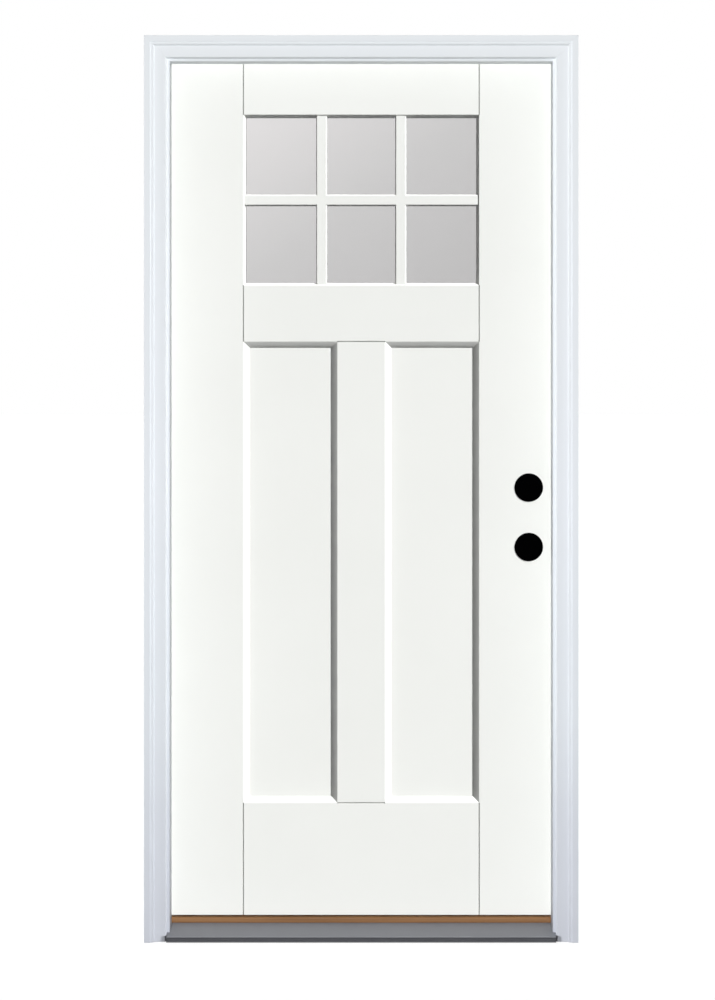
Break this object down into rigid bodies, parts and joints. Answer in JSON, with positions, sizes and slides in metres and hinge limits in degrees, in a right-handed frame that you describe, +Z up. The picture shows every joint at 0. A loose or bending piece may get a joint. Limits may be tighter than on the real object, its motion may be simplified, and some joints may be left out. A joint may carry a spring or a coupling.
{
  "type": "panelled front door with frame",
  "caption": "White inswing front door with a divided glass panel over tall recessed panels, hung on butt hinges in a rabbeted frame with brickmould and a metal sill with an oak cap.",
  "frame": {"origin": "on the underside of the sill, at mid width, under the outdoor edge of the jambs", "axes": "+Z up, -Y towards the outdoors, +X towards the lock edge, hinges at -X"},
  "size_m": [1.0034, 0.1668, 2.0956],
  "materials": {
    "door_paint": "smooth white paint",
    "frame_paint": "cool white primer",
    "foam": "cast foam",
    "bare_wood": "planed",
    "white_plastic": "moulded",
    "glass": "clear with a grey tint",
    "black_seal": "matt",
    "brown_seal": "matt",
    "black_plastic": "matt black",
    "white_seal": "soft foam with a smooth wrap",
    "steel": "satin",
    "mill_aluminium": "mill finish",
    "brown_composite": "moulded",
    "oak": "stained and sealed"
  },
  "bodies": {
    "frame": {"hinge_jamb": "frame_paint", "strike_jamb": "frame_paint", "head_jamb": "frame_paint", "left_brickmould": "frame_paint", "right_brickmould": "frame_paint", "head_brickmould": "frame_paint", "hinge_weatherstrip": "white_seal", "strike_weatherstrip": "white_seal", "head_weatherstrip": "white_seal", "hinge_corner_pad": "black_seal", "strike_corner_pad": "black_seal", "sill_substrate": "brown_composite", "sill_deck": "mill_aluminium", "adjuster_inserts": "steel", "top_hinge_jamb_leaf": "steel", "middle_hinge_jamb_leaf": "steel", "bottom_hinge_jamb_leaf": "steel", "top_hinge_pin": "steel", "middle_hinge_pin": "steel", "bottom_hinge_pin": "steel", "jamb_hinge_screws": "steel", "head_screws": "steel", "sill_screws": "steel"},
    "door": {"exterior_skin": "door_paint", "interior_skin": "door_paint", "foam_core": "foam", "hinge_stile": "bare_wood", "lock_stile": "bare_wood", "top_rail": "bare_wood", "bottom_rail": "bare_wood", "lock_block": "bare_wood", "lite_surround": "white_plastic", "outer_pane": "glass", "inner_pane": "glass", "glass_spacer": "mill_aluminium", "glass_edge_seal": "black_seal", "outer_glazing_tape": "black_seal", "inner_glazing_tape": "black_seal", "exterior_grille": "door_paint", "interior_grille": "door_paint", "door_sweep": "brown_seal", "lower_bore_cover": "black_plastic", "upper_bore_cover": "black_plastic", "top_hinge_door_leaf": "steel", "middle_hinge_door_leaf": "steel", "bottom_hinge_door_leaf": "steel", "door_hinge_screws": "steel"},
    "cap": {"sill_cap": "oak"},
    "adjuster_1": {"adjuster_screw_1": "steel"},
    "adjuster_2": {"adjuster_screw_2": "steel"},
    "adjuster_3": {"adjuster_screw_3": "steel"},
    "adjuster_4": {"adjuster_screw_4": "steel"}
  },
  "joints": [
    {"name": "door_swing", "type": "hinge", "parent": "frame", "child": "door", "pos_m": [-0.4556, 0.1287, 0], "axis": [0, 0, 1], "range_deg": [0, 170]},
    {"name": "cap_height", "type": "slide", "parent": "frame", "child": "cap", "axis": [0, 0, 1], "range_m": [-0.004, 0]},
    {"name": "adjuster_1_turn", "type": "hinge", "parent": "cap", "child": "adjuster_1", "pos_m": [-0.39, 0.088, 0.03], "axis": [0, 0, 1], "range_deg": [-577, 0]},
    {"name": "adjuster_2_turn", "type": "hinge", "parent": "cap", "child": "adjuster_2", "pos_m": [-0.13, 0.088, 0.03], "axis": [0, 0, 1], "range_deg": [-577, 0]},
    {"name": "adjuster_3_turn", "type": "hinge", "parent": "cap", "child": "adjuster_3", "pos_m": [0.13, 0.088, 0.03], "axis": [0, 0, 1], "range_deg": [-577, 0]},
    {"name": "adjuster_4_turn", "type": "hinge", "parent": "cap", "child": "adjuster_4", "pos_m": [0.39, 0.088, 0.03], "axis": [0, 0, 1], "range_deg": [-577, 0]}
  ],
  "couplings": [
    {"joint": "adjuster_1_turn", "follows": "cap_height", "rad_per_m": 2513.3},
    {"joint": "adjuster_2_turn", "follows": "cap_height", "rad_per_m": 2513.3},
    {"joint": "adjuster_3_turn", "follows": "cap_height", "rad_per_m": 2513.3},
    {"joint": "adjuster_4_turn", "follows": "cap_height", "rad_per_m": 2513.3}
  ]
}
